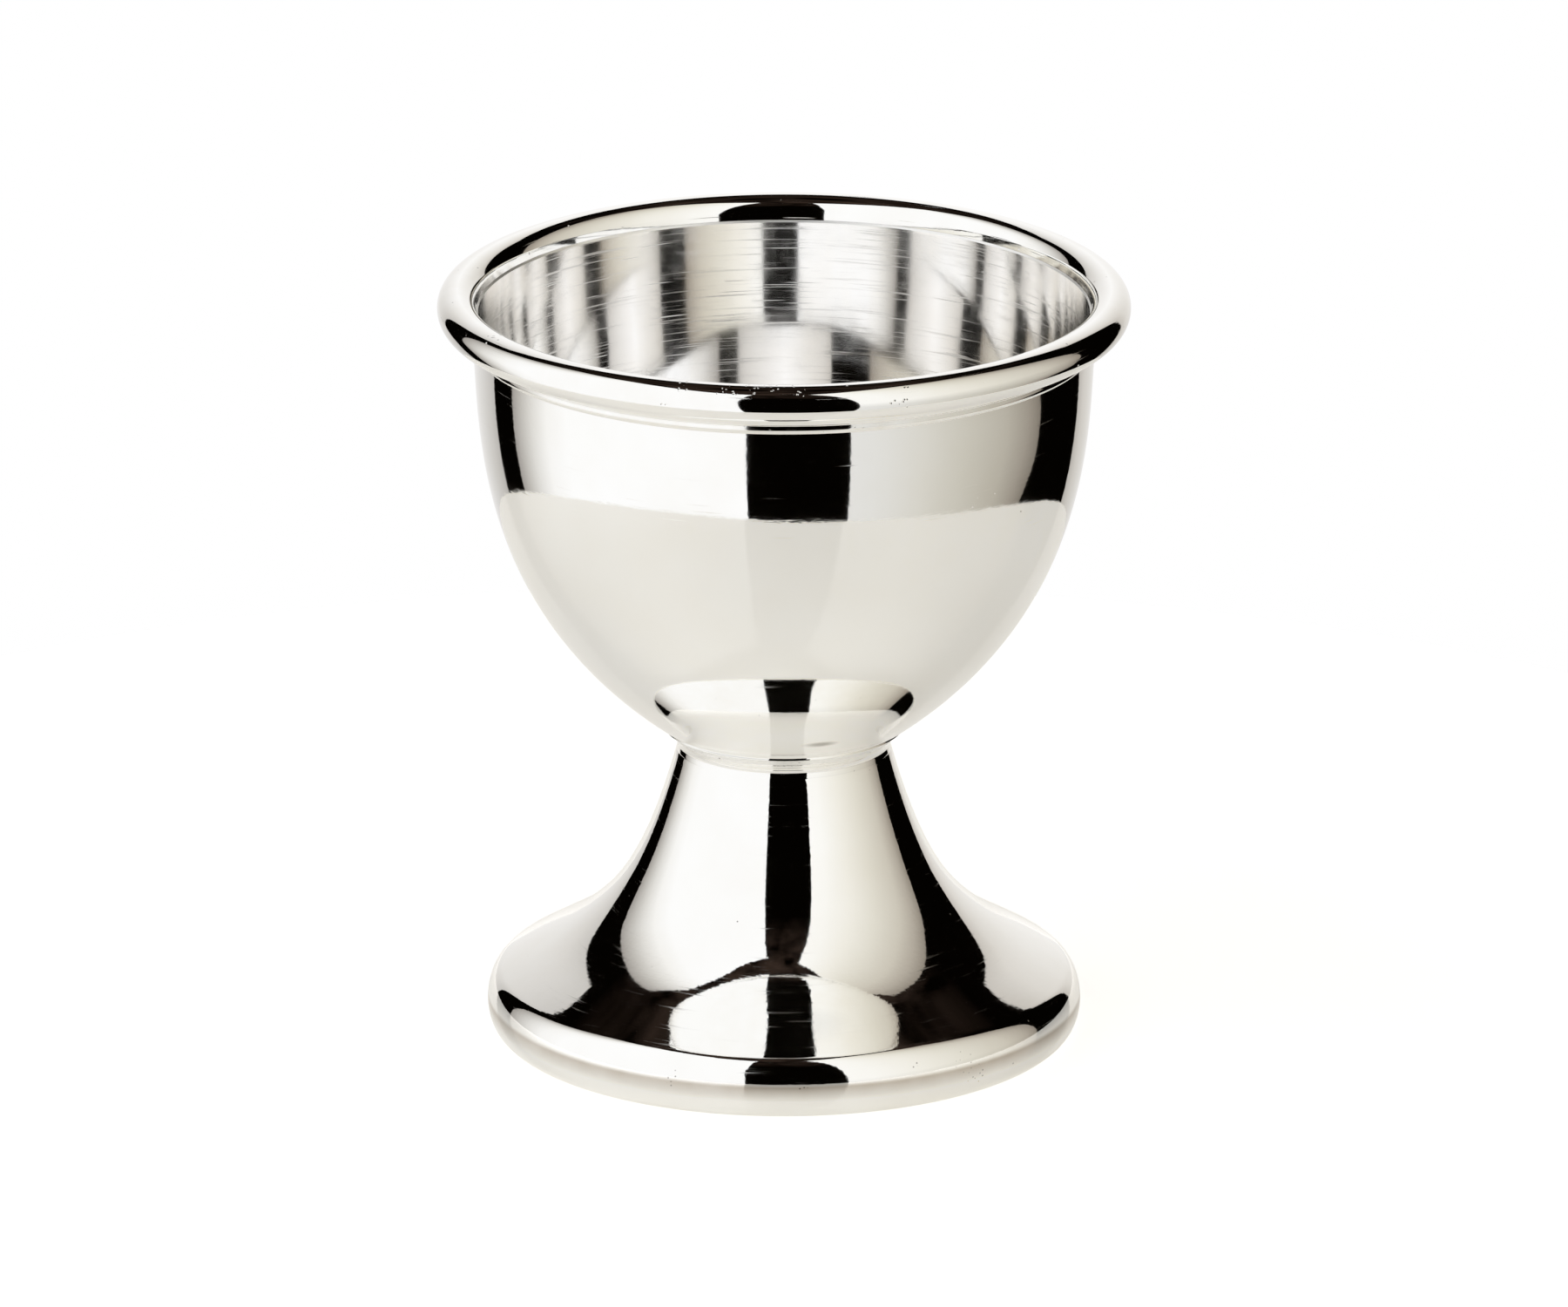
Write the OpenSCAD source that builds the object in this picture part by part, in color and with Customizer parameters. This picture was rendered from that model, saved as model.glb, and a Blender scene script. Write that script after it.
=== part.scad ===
// Footed egg cup in spun, silver-plated sheet. A bowl with a round wire on its lip
// sits on a hollow trumpet foot, and silver solder joins the pieces.
// Millimetres, +Z up. The origin is the middle of the ring on which the foot stands.

/* [Cup] */
// Diameter over the outside of the rim wire
rim_d = 50; // [48:0.5:54]
// Height from the table to the top of the rim wire
cup_h = 56.1; // [54:0.1:62]

/* [Rim] */
// Thickness of the round wire that borders the lip
wire_d = 2.8; // [2.2:0.1:3.4]
// Width of the lip's bare edge inside the wire
lip_edge_w = 0.2; // [0.15:0.05:0.35]
// Drop of the lip's edge below the middle of the wire
lip_drop = 0.35; // [0.2:0.05:0.6]
// Height of the solder band below the wire
rim_solder_h = 1.05; // [0.6:0.05:1.6]
// Thickness of the solder band below the wire
rim_solder_t = 0.18; // [0.12:0.02:0.3]

/* [Bowl] */
// Thickness of the bowl's sheet
bowl_wall = 0.7; // [0.55:0.05:0.9]
// Angle above level at which the bowl's side leaves its round bottom
bowl_rise_angle = 34.8; // [32:0.2:38]

/* [Neck] */
// Diameter of the foot at its narrowest
neck_d = 15.4; // [14:0.2:17]
// Height of the foot's narrowest place above the table
neck_h = 21.7; // [19:0.1:25]
// Height of the foot's flared top above its narrowest place
neck_flare_h = 0.85; // [0.6:0.05:1.2]
// How far the foot's flared top reaches out past its narrowest place
neck_flare_w = 0.4; // [0.3:0.05:0.6]
// Gap between the foot's top edge and the bowl, which solder fills
neck_gap = 0.2; // [0.14:0.02:0.3]
// Width of the solder seam between the foot's top and the bowl
neck_solder_w = 0.5; // [0.4:0.05:0.6]

/* [Foot] */
// Diameter of the foot at its widest
foot_d = 43.1; // [40:0.1:47]
// Thickness of the foot's sheet
foot_wall = 0.8; // [0.6:0.05:0.95]
// Height of the shoulder, where the flare turns down into the edge
shoulder_h = 4.6; // [4:0.1:5.4]
// How far the shoulder lies inside the widest place
shoulder_inset = 0.9; // [0.7:0.05:1.2]
// How far the outer end of the flat that the cup stands on lies inside the widest place
rest_inset = 1.6; // [1.4:0.05:1.9]
// Width of the flat ring that the cup stands on
rest_w = 0.7; // [0.5:0.05:1]
// Outer radius of the hem, turned up inside the foot
hem_r = 1.2; // [1.1:0.05:1.5]
// How far the flare runs on past the shoulder before it turns down
edge_lead = 1.34; // [1.1:0.02:1.6]
// How far the edge rounds out from the flat that the cup stands on
edge_roll = 2.17; // [1.9:0.01:2.5]

/* [Hidden] */
$fn = 96;

// Straight facets that follow each curve, and each round end
curve_steps = 40;
turn_steps = 8;

// Rim wire
wire_r = wire_d / 2;
wire_middle = [rim_d / 2 - wire_r, cup_h - wire_r];

// Foot: the places that its outline passes through, as [radius, height]
neck = [neck_d / 2, neck_h];
foot_top = neck + [neck_flare_w, neck_flare_h];
shoulder = [foot_d / 2 - shoulder_inset, shoulder_h];
rest = [foot_d / 2 - rest_inset, 0];
hem_middle = [rest[0] - rest_w, hem_r];

// Bowl: its seat over the foot, where the bottom ends, and the outside of its lip
seat = foot_top + [neck_solder_w, neck_solder_w * tan(bowl_rise_angle) + neck_gap];
lip = [rim_d / 2 - wire_d - lip_edge_w + bowl_wall, wire_middle[1] - lip_drop];

// How far the bowl's side keeps its first angle, as a share of the side's spread
bowl_lead_share = 1.12;
// Guide point below the lip, as shares of the way from the seat to the lip
bowl_top_share = [0.92, 0.837];
// Guide points of the foot's flare, as shares of the way from its shoulder to its neck
flare_shares = [[0, 0], [0.54, 0.236], [0.748, 0.295], [1, 1]];
// Guide point of the neck's top, as a share of the way from the neck to the foot's top
neck_top_share = [0.25, 0.65];
// Length of the neck's own lead into its top, as a share of the top's height
neck_lead_share = 0.3;

// A place given by its shares of the way from one place to another, outwards and upwards
function between(start, end, share) =
    [start[0] + (end[0] - start[0]) * share[0], start[1] + (end[1] - start[1]) * share[1]];

function unit(v) = v / norm(v);

// The direction to the right of a heading, as seen along it
function right_of(v) = [v[1], -v[0]];

function on_curve(g, t) =
    g[0] * pow(1 - t, 3) + g[1] * 3 * t * pow(1 - t, 2) + g[2] * 3 * pow(t, 2) * (1 - t) + g[3] * pow(t, 3);

function heading(g, t) =
    unit((g[1] - g[0]) * pow(1 - t, 2) + (g[2] - g[1]) * 2 * t * (1 - t) + (g[3] - g[2]) * pow(t, 2));

// Points along a curve, moved to the right of its heading by a distance
function run(g, right = 0) =
    [for (i = [0:curve_steps]) on_curve(g, i / curve_steps) + right_of(heading(g, i / curve_steps)) * right];

// Points on an arc about a middle, with angles from the radius direction towards +Z
function arc(middle, r, from, to) =
    [for (i = [0:turn_steps])
        let (a = from + (to - from) * i / turn_steps)
        middle + r * [cos(a), sin(a)]];

// A list without its first value, where two runs share a point
function rest_of(points) = [for (i = [1:len(points) - 1]) points[i]];

function reversed(points) = [for (i = [len(points) - 1:-1:0]) points[i]];

// The bowl's round bottom is part of a ball that the side leaves smoothly
bottom_r = seat[0] / sin(bowl_rise_angle);
bottom_middle = [0, seat[1] + bottom_r * cos(bowl_rise_angle)];
side = [
    seat,
    seat + (lip[0] - seat[0]) * bowl_lead_share * [1, tan(bowl_rise_angle)],
    between(seat, lip, bowl_top_share),
    lip
];

// The bowl's outside from the axis to the lip, grown outwards by a distance
function bowl_outside(grow) =
    concat(arc(bottom_middle, bottom_r + grow, -90, bowl_rise_angle - 90), rest_of(run(side, grow)));

// The foot's outline runs from its top, down the flare and over the edge to the flat ring
flare = reversed([for (share = flare_shares) between(shoulder, neck, share)]);
neck_top = [
    foot_top,
    between(neck, foot_top, neck_top_share),
    neck - heading(flare, 0) * neck_flare_h * neck_lead_share,
    neck
];
edge = [
    shoulder,
    shoulder + heading(flare, 1) * edge_lead,
    rest + [edge_roll, 0],
    rest
];

function foot_skin(depth) =
    concat(run(neck_top, depth), rest_of(run(flare, depth)), rest_of(run(edge, depth)));

// The solid that the bowl's outside encloses, which cuts the seats of what it touches
module bowl_outline(grow = 0) {
    polygon(concat(bowl_outside(grow), [[0, lip[1]]]));
}

module wire_outline() {
    translate(wire_middle)
        circle(r = wire_r);
}

module foot_outline() {
    polygon(concat(
        foot_skin(0),
        arc(hem_middle, hem_r, 270, 180),
        arc(hem_middle, hem_r - foot_wall, 180, 270),
        reversed(foot_skin(foot_wall))
    ));
}

// Spun bowl, open at the top, with its lip dressed thin against the wire
module bowl() {
    color("silver")
        rotate_extrude()
            difference() {
                polygon(concat(bowl_outside(0), reversed(bowl_outside(-bowl_wall))));
                wire_outline();
            }
}

// Round wire bent into a ring, on the outside of the lip
module rim_wire() {
    color("gainsboro")
        rotate_extrude()
            wire_outline();
}

// Solder drawn into the corner between the wire and the bowl's side
module rim_solder() {
    band_bottom = wire_middle[1] - wire_r - rim_solder_h;
    color("darkgray")
        rotate_extrude()
            difference() {
                intersection() {
                    bowl_outline(rim_solder_t);
                    translate([0, band_bottom])
                        square([rim_d, wire_middle[1] - lip_drop - band_bottom]);
                }
                bowl_outline();
                wire_outline();
            }
}

// Spun trumpet foot, hollow below, with its edge turned under into a hem
module foot() {
    color("silver")
        rotate_extrude()
            difference() {
                foot_outline();
                bowl_outline();
            }
}

// Solder seam that fills the notch between the foot's top and the bowl
module neck_solder() {
    color("darkgray")
        rotate_extrude()
            difference() {
                polygon([foot_top, seat, [neck[0], seat[1]], [neck[0], foot_top[1]]]);
                bowl_outline();
                foot_outline();
            }
}

bowl();
rim_wire();
rim_solder();
foot();
neck_solder();
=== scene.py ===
"""Looks of a footed egg cup in spun, silver-plated sheet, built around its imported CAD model.

Sizes are in millimetres until a mesh is made, and Blender then gets metres. A place is [radius, height] on
one side of the cup's axis, and an angle in degrees turns from outwards towards up.
"""

import logging
import math
from collections.abc import Sequence
from dataclasses import dataclass, field
from enum import Enum

import bpy
import numpy as np
from bpy.types import Material, Node, NodeSocket, NodeTree, Object, World
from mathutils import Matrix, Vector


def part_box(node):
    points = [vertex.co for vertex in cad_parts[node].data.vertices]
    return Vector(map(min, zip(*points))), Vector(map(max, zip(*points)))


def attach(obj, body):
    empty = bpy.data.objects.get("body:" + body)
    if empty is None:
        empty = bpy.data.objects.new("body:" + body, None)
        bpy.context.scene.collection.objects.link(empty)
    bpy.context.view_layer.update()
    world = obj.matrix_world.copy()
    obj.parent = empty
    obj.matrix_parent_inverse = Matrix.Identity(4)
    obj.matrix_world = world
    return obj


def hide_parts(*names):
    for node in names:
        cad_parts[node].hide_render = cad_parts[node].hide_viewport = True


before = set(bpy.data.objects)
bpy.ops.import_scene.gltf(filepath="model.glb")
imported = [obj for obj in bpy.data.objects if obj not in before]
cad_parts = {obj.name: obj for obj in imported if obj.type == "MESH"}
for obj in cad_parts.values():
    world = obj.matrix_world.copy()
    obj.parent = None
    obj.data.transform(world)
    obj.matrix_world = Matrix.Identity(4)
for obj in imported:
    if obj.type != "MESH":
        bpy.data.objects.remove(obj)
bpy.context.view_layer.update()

log = logging.getLogger("egg_cup")

MM = 0.001
BODY = "root"
SPIN_MAP = "spin"
# Columns of faces that go round a piece
TURNS = 384
# Steps of a short run where one piece is seated on another
SEAT_STEPS = 8


class Slot(Enum):
    """The record's material slots."""

    PLATE = "silver_plate"
    WIRE = "silver_wire"
    SOLDER = "silver_solder"


def linear(hex_colour: str) -> tuple[float, float, float, float]:
    """Turns an sRGB hex colour to the linear one that Blender's sockets take.

    Args:
        hex_colour: Six hex digits, such as "F4F1EA".

    Returns:
        Red, green, blue and an alpha of 1.
    """
    parts = [int(hex_colour[i:i + 2], 16) / 255 for i in (0, 2, 4)]
    lit = [c / 12.92 if c <= 0.04045 else ((c + 0.055) / 1.055) ** 2.4 for c in parts]
    return (*lit, 1.0)


def add_node(tree: NodeTree, kind: str, inputs: dict | None = None, **settings) -> Node:
    """Adds a node, sets it up and joins its inputs.

    Args:
        tree: The node tree of a material or a world.
        kind: Blender's name of the node type, without "ShaderNode".
        inputs: By the input's name or number: a value, an output socket, or a node for its first output.
        **settings: The node's own properties.

    Returns:
        The new node.
    """
    node = tree.nodes.new("ShaderNode" + kind)
    for name, value in settings.items():
        setattr(node, name, value)
    for name, value in (inputs or {}).items():
        if isinstance(value, Node):
            value = next(socket for socket in value.outputs if socket.enabled)
        if isinstance(value, NodeSocket):
            tree.links.new(value, node.inputs[name])
        else:
            node.inputs[name].default_value = value
    return node


def empty_tree(owner: Material | World) -> NodeTree:
    """Gives a material or world a node tree with nothing in it.

    Args:
        owner: The material or world.

    Returns:
        Its node tree.
    """
    owner.use_nodes = True
    owner.node_tree.nodes.clear()
    return owner.node_tree


def add_mesh(name: str, verts: list, faces: list) -> Object:
    """Makes a mesh object in the scene.

    Args:
        name: The object's name.
        verts: The places of its corners in metres.
        faces: The numbers of each face's corners.

    Returns:
        The object.
    """
    mesh = bpy.data.meshes.new(name)
    mesh.from_pydata(verts, [], faces)
    made = bpy.data.objects.new(name, mesh)
    bpy.context.scene.collection.objects.link(made)
    return made


# Finishes


@dataclass(frozen=True)
class SilverFinish:
    """Fine silver on a base metal, and how its surface was worked.

    Lengths are millimetres. A line or scratch finer than the picture shows is drawn as wide as a pixel or so.
    Scratches round the axis are laid out on the scratch girth, about the way round the piece.
    Dings are places with many pits, each as x, y, z and how far it reaches. A soft darker line can run round
    the piece at a height, and the smudge is one soft mark round a place, with its reach along x, y and z.
    """

    name: str
    colour: str = "FEFEFD"
    shade: str = "FBFAF7"
    roughness: tuple[float, float] = (0.03, 0.16)
    anisotropic: float = 0.0
    patch_width: float = 7.0
    line_pitch: float = 0.25
    line_length: float = 9.0
    line_depth: float = 0.0
    line_wear: float = 0.0
    line_start: float = 0.6
    line_spread: float = 0.08
    ripple_width: float = 1.1
    ripple_depth: float = 0.0
    scratch_width: float = 0.06
    scratch_length: float = 3.5
    scratch_depth: float = 0.0
    scratch_share: float = 0.05
    scratch_slants: tuple[tuple[float, float, float], ...] = ((0.3, 0.5, 0.2), (0.9, 0.2, 1.9))
    scratch_girth: float = 100.0
    pit_width: float = 0.5
    pit_depth: float = 0.0
    pit_share: float = 0.05
    pit_sparse: float = 0.05
    pit_crowd: float = 4.0
    pit_dirt: float = 0.0
    dirt: str = "3A322A"
    dings: tuple[tuple[float, float, float, float], ...] = ()
    ding_share: float = 0.5
    ding_core: float = 0.3
    # A soft darker line round the piece at a height: its tone, height, width and fade below
    dark_line_tone: str = "BAB0A4"
    dark_line_height: float = 0.0
    dark_line_width: float = 0.4
    dark_line_fade: float = 1.05
    smudge: tuple[float, float, float] | None = None
    smudge_reach: tuple[float, float, float] = (1.7, 1.2, 0.42)
    smudge_tone: str = "A9A49C"

    def material(self) -> Material:
        """Builds the finish's node tree.

        Returns:
            The material.
        """
        made = bpy.data.materials.new(self.name)
        tree = empty_tree(made)
        place = add_node(tree, "TexCoord")
        spot, spin = place.outputs["Object"], place.outputs["UV"]
        lines = self.lines(tree, spot, spin)
        ripple = add_node(tree, "TexNoise", {"Vector": spot, "Scale": 1 / (self.ripple_width * MM)})
        scratches = self.scratches(tree, spot, spin)
        pits = self.pits(tree, spot)
        patches = add_node(tree, "TexNoise", {
            "Vector": spot, "Scale": 1 / (self.patch_width * MM), "Detail": 3.0, "Roughness": 0.6})

        shaded = add_node(tree, "MapRange", {"Value": patches, "From Min": 0.35, "From Max": 0.75})
        layers = [(shaded, self.shade)]
        if self.dark_line_height:
            layers.append((self.dark_line(tree, spot, patches), self.dark_line_tone))
        if self.smudge:
            layers.append((self.smudged(tree, spot), self.smudge_tone))
        if self.pit_dirt:
            held = add_node(tree, "Math", {0: pits, 1: self.pit_dirt}, operation="MULTIPLY")
            layers.append((held, self.dirt))
        colour = linear(self.colour)
        for share, tone in layers:
            colour = add_node(tree, "Mix", {"Factor": share, "A": colour, "B": linear(tone)},
                              data_type="RGBA")

        film = add_node(tree, "MapRange", {
            "Value": patches, "From Min": 0.3, "From Max": 0.8, "To Max": 0.25})
        brushed = add_node(tree, "MapRange", {
            "Value": lines, "From Min": self.line_start, "From Max": self.line_start + self.line_spread,
            "To Max": self.line_wear})
        dulled = add_node(tree, "Math", {0: film, 1: brushed}, operation="ADD")
        wear = add_node(tree, "Math", {0: dulled, 1: scratches}, operation="ADD")
        low, high = self.roughness
        rough = add_node(tree, "MapRange", {"Value": wear, "To Min": low, "To Max": high})

        normal = {}
        for height, depth in ((ripple, self.ripple_depth), (lines, self.line_depth),
                              (scratches, -self.scratch_depth), (pits, -self.pit_depth)):
            if depth:
                bump = add_node(tree, "Bump", {"Height": height, "Distance": abs(depth) * MM, **normal},
                                invert=depth < 0)
                normal = {"Normal": bump}
        grain = {}
        if self.anisotropic:
            tangent = add_node(tree, "Tangent", direction_type="RADIAL", axis="Z")
            grain = {"Anisotropic": self.anisotropic, "Anisotropic Rotation": 0.25, "Tangent": tangent}
        surface = add_node(tree, "BsdfPrincipled", {
            "Base Color": colour, "Metallic": 1.0, "Roughness": rough, **normal, **grain})
        add_node(tree, "OutputMaterial", {"Surface": surface})
        return made

    def dark_line(self, tree: NodeTree, spot: NodeSocket, patches: Node) -> Node:
        """Draws a soft darker line round the piece at a height, fading out below.

        Args:
            tree: The material's node tree.
            spot: Gives places on the object.
            patches: A noise that makes the line stronger in some places.

        Returns:
            The node of its strength.
        """
        height = add_node(tree, "SeparateXYZ", {0: spot}).outputs[2]
        line = self.dark_line_height * MM
        above = add_node(tree, "MapRange", {
            "Value": height, "From Min": line, "From Max": line + self.dark_line_width * MM,
            "To Min": 1.0, "To Max": 0.0}, interpolation_type="SMOOTHSTEP")
        below = add_node(tree, "MapRange", {
            "Value": height, "From Min": line - self.dark_line_fade * MM, "From Max": line})
        patchy = add_node(tree, "MapRange", {
            "Value": patches, "From Min": 0.3, "From Max": 0.7, "To Min": 0.6, "To Max": 0.95})
        edges = add_node(tree, "Math", {0: above, 1: below}, operation="MULTIPLY")
        return add_node(tree, "Math", {0: edges, 1: patchy}, operation="MULTIPLY")

    def smudged(self, tree: NodeTree, spot: NodeSocket) -> Node:
        """Draws the one soft mark on the surface, which fades towards its ends.

        Args:
            tree: The material's node tree.
            spot: Gives places on the object.

        Returns:
            The node of its strength.
        """
        off = add_node(tree, "VectorMath", {0: spot, 1: [p * MM for p in self.smudge]}, operation="SUBTRACT")
        shares = add_node(tree, "VectorMath", {0: off, 1: [1 / (r * MM) for r in self.smudge_reach]},
                          operation="MULTIPLY")
        away = add_node(tree, "VectorMath", {0: shares}, operation="LENGTH")
        return add_node(tree, "MapRange", {"Value": away, "From Min": 0.2, "To Min": 0.8, "To Max": 0.0},
                        interpolation_type="SMOOTHSTEP")

    def lines(self, tree: NodeTree, spot: NodeSocket, spin: NodeSocket) -> Node:
        """Draws the lines that run round the axis, left by the spinning tool, the emery or the buff.

        Args:
            tree: The material's node tree.
            spot: Gives places on the object.
            spin: Gives the share of a turn, and the distance along the section.

        Returns:
            The node of the lines' heights, from 0 to 1.
        """
        long, fine = 1 / (self.line_length * MM), 1 / (self.line_pitch * MM)
        flat = add_node(tree, "SeparateXYZ", {0: spot}).outputs
        down = add_node(tree, "SeparateXYZ", {0: spin}).outputs
        east, north, depth = (add_node(tree, "Math", {0: value, 1: scale}, operation="MULTIPLY")
                              for value, scale in ((flat[0], long), (flat[1], long), (down[1], fine)))
        where = add_node(tree, "CombineXYZ", {0: east, 1: north, 2: depth})
        return add_node(tree, "TexNoise", {"Vector": where, "Scale": 1.0, "Detail": 3.0, "Roughness": 0.65})

    def scratches(self, tree: NodeTree, spot: NodeSocket, spin: NodeSocket) -> Node:
        """Draws straight hairline scratches: some run round the axis, and others cross them at the slants.

        Args:
            tree: The material's node tree.
            spot: Gives places on the object.
            spin: Gives the share of a turn, and the distance along the section.

        Returns:
            The node of the scratches, 1 in a scratch and 0 beside it.
        """
        fine, long = 1 / (self.scratch_width * 2 * MM), 1 / (self.scratch_length * MM)
        patterns = [(spin, (0.0, 0.0, 0.0), (self.scratch_girth / self.scratch_length, fine, 1.0))]
        patterns += [(spot, slant, (long, long, fine)) for slant in self.scratch_slants]
        found = None
        for source, slant, scale in patterns:
            turned = add_node(tree, "Mapping", {"Vector": source, "Rotation": slant, "Scale": scale})
            cells = add_node(tree, "TexVoronoi", {"Vector": turned, "Scale": 1.0})
            streak = add_node(tree, "MapRange", {
                "Value": cells, "From Min": 0.12, "From Max": 0.4, "To Min": 1.0, "To Max": 0.0})
            one = self.picked(tree, cells, streak, self.scratch_share)
            found = add_node(tree, "Math", {0: found, 1: one}, operation="MAXIMUM") if found else one
        return found

    def pits(self, tree: NodeTree, spot: NodeSocket) -> Node:
        """Draws small pits and dings, more of them in some places than in others.

        Args:
            tree: The material's node tree.
            spot: Gives places on the object.

        Returns:
            The node of the pits, 1 at a pit's middle and 0 beside it.
        """
        cells = add_node(tree, "TexVoronoi", {"Vector": spot, "Scale": 1 / (self.pit_width * 2 * MM)})
        dip = add_node(tree, "MapRange", {"Value": cells, "From Max": 0.35, "To Min": 1.0, "To Max": 0.0},
                       interpolation_type="SMOOTHSTEP")
        group = add_node(tree, "TexNoise", {"Vector": spot, "Scale": 1 / (self.patch_width * MM)})
        share = add_node(tree, "MapRange", {
            "Value": group, "From Min": 0.5, "From Max": 0.68,
            "To Min": self.pit_sparse * self.pit_share, "To Max": self.pit_crowd * self.pit_share})
        for *middle, reach in self.dings:
            away = add_node(tree, "VectorMath", {0: spot, 1: [p * MM for p in middle]}, operation="DISTANCE")
            near = add_node(tree, "MapRange", {
                "Value": away, "From Min": self.ding_core * reach * MM, "From Max": reach * MM,
                "To Min": self.ding_share, "To Max": 0.0})
            share = add_node(tree, "Math", {0: share, 1: near}, operation="MAXIMUM")
        return self.picked(tree, cells, dip, share)

    def picked(self, tree: NodeTree, cells: Node, mark: Node, share: Node | float) -> Node:
        """Keeps a mark in a share of the cells, picked by the cells' random colours.

        Args:
            tree: The material's node tree.
            cells: The cells.
            mark: The mark in each of them.
            share: The share that keeps it.

        Returns:
            The node of the marks that are kept.
        """
        pick = add_node(tree, "SeparateColor", {0: cells.outputs["Color"]})
        kept = add_node(tree, "Math", {0: pick, 1: share}, operation="LESS_THAN")
        return add_node(tree, "Math", {0: mark, 1: kept}, operation="MULTIPLY")


# Buffed to a mirror on the outside: sharp reflections whose edges waver a little along the buffing lines
MIRROR_PLATE = SilverFinish(
    name="silver_plate_buffed_to_a_mirror", roughness=(0.02, 0.2), line_length=5.0, line_depth=0.001,
    ripple_width=0.4, ripple_depth=0.0012, scratch_depth=0.0006, scratch_share=0.02, pit_width=0.16,
    pit_depth=0.004, pit_share=0.004, smudge=(2.7, -10.95, 25.05))
# Buffed as bright but handled more: faint hairlines, a few small pits and a soft darker line low down
FOOT_PLATE = SilverFinish(
    name="silver_plate_buffed_and_handled", roughness=(0.02, 0.14), line_length=6.0, line_depth=0.0008,
    line_wear=1.0, line_start=0.62, ripple_width=0.35, ripple_depth=0.0016, scratch_length=5.0,
    scratch_depth=0.0004, scratch_share=0.035, pit_width=0.14, pit_depth=0.006, pit_share=0.002, pit_dirt=0.8,
    dings=((13.6, -16.6, 2.1, 1.3), (9.2, -19.3, 3.3, 0.8), (12.7, -17.1, 3.35, 1.0),
           (1.3, -21.3, 2.85, 0.9), (-7.9, -19.8, 2.8, 0.7)),
    ding_share=0.6, dark_line_height=2.55)
# Spun and wiped with fine emery inside: still bright, with fine dull lines that run round the bowl
SATIN_PLATE = SilverFinish(
    name="silver_plate_spun_and_emeried", colour="FFFFFF", shade="FFFEFC", roughness=(0.022, 0.38),
    anisotropic=0.3, line_pitch=0.16, line_length=10.0, line_depth=0.0001, line_wear=0.45, line_start=0.56,
    ripple_width=0.8, ripple_depth=0.0003, scratch_width=0.05, scratch_length=4.0, scratch_depth=0.0006,
    scratch_share=0.025)
# The lip's edge is filed: a frosty line between the wire and the inside
FILED_PLATE = SilverFinish(name="silver_plate_filed_edge", roughness=(0.4, 0.5), line_depth=0.0002)
# Plated but not buffed under the foot: a soft grey sheen over the spinning lines
PLAIN_PLATE = SilverFinish(
    name="silver_plate_as_spun", colour="E9E5DB", shade="CFC9BC", roughness=(0.28, 0.42), anisotropic=0.5,
    line_pitch=0.5, line_depth=0.004)
# Drawn wire, buffed on the ring: bright, with dings from use along its top
BUFFED_WIRE = SilverFinish(
    name="silver_plated_wire_buffed", roughness=(0.02, 0.2), patch_width=4.0, line_depth=0.0002,
    ripple_width=0.5, ripple_depth=0.0006, scratch_depth=0.002, scratch_share=0.06, pit_width=0.14,
    pit_depth=0.03, pit_share=0.012, ding_share=0.9,
    dings=((-4.0, -23.8, 55.98, 1.0), (-2.4, -24.03, 55.98, 1.0), (-0.8, -24.14, 55.98, 1.1),
           (0.9, -24.13, 55.98, 0.9), (-7.2, -23.05, 55.98, 0.8), (-20.6, -11.8, 55.9, 1.0),
           (8.6, -22.9, 55.2, 1.0), (20.4, 12.2, 55.9, 0.9)))
# Hard solder dressed with a file and buffed where the buff reaches: a little softer, and pitted
DRESSED_SOLDER = SilverFinish(
    name="silver_solder_dressed", colour="FEFEFC", shade="F8F6F1", roughness=(0.03, 0.25), patch_width=3.0,
    line_pitch=0.2, line_depth=0.0002, ripple_width=0.6, ripple_depth=0.0008, scratch_depth=0.001,
    pit_width=0.1, pit_depth=0.01)
# The solder round the neck is wiped, not buffed: frosty and white, with pits where it didn't quite fill
WIPED_SOLDER = SilverFinish(
    name="silver_solder_wiped", colour="FFFFFE", shade="FCFBF8", roughness=(0.3, 0.5), patch_width=3.0,
    ripple_width=0.6, ripple_depth=0.0008, scratch_share=0.0, pit_width=0.22, pit_depth=0.04,
    pit_share=0.004, pit_dirt=1.0, dings=((-5.0, -6.7, 22.9, 0.8), (0.95, -8.3, 22.8, 0.8)), ding_share=0.9)


# Sections


def unit(ways: np.ndarray) -> np.ndarray:
    """Scales each direction to a length of 1."""
    return ways / np.linalg.norm(ways, axis=1)[:, None]


def right_of(ways: np.ndarray) -> np.ndarray:
    """Turns each direction to its right, as seen along it."""
    return np.stack([ways[:, 1], -ways[:, 0]], axis=1)


def between(start: np.ndarray, end: np.ndarray, share: Sequence[float]) -> np.ndarray:
    """Gives a place by its shares of the way from one place to another, outwards and upwards."""
    return start + (end - start) * np.array(share)


def bearing(start: np.ndarray, end: np.ndarray) -> float:
    """Gives the direction from one place to another in degrees."""
    out, up = end - start
    return math.degrees(math.atan2(up, out))


def arc(middle: Sequence[float], radius: float, start: float, end: float, steps: int) -> np.ndarray:
    """Follows an arc in equal steps, from its start angle to its end angle."""
    a = np.radians(np.linspace(start, end, steps + 1))
    return np.stack([middle[0] + radius * np.cos(a), middle[1] + radius * np.sin(a)], axis=1)


def headings(guides: np.ndarray, steps: int) -> np.ndarray:
    """Gives a cubic curve's unit directions at the places that run follows."""
    t = np.linspace(0, 1, steps + 1)[:, None]
    return unit((guides[1] - guides[0]) * (1 - t) ** 2 + (guides[2] - guides[1]) * 2 * t * (1 - t)
                + (guides[3] - guides[2]) * t ** 2)


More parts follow.
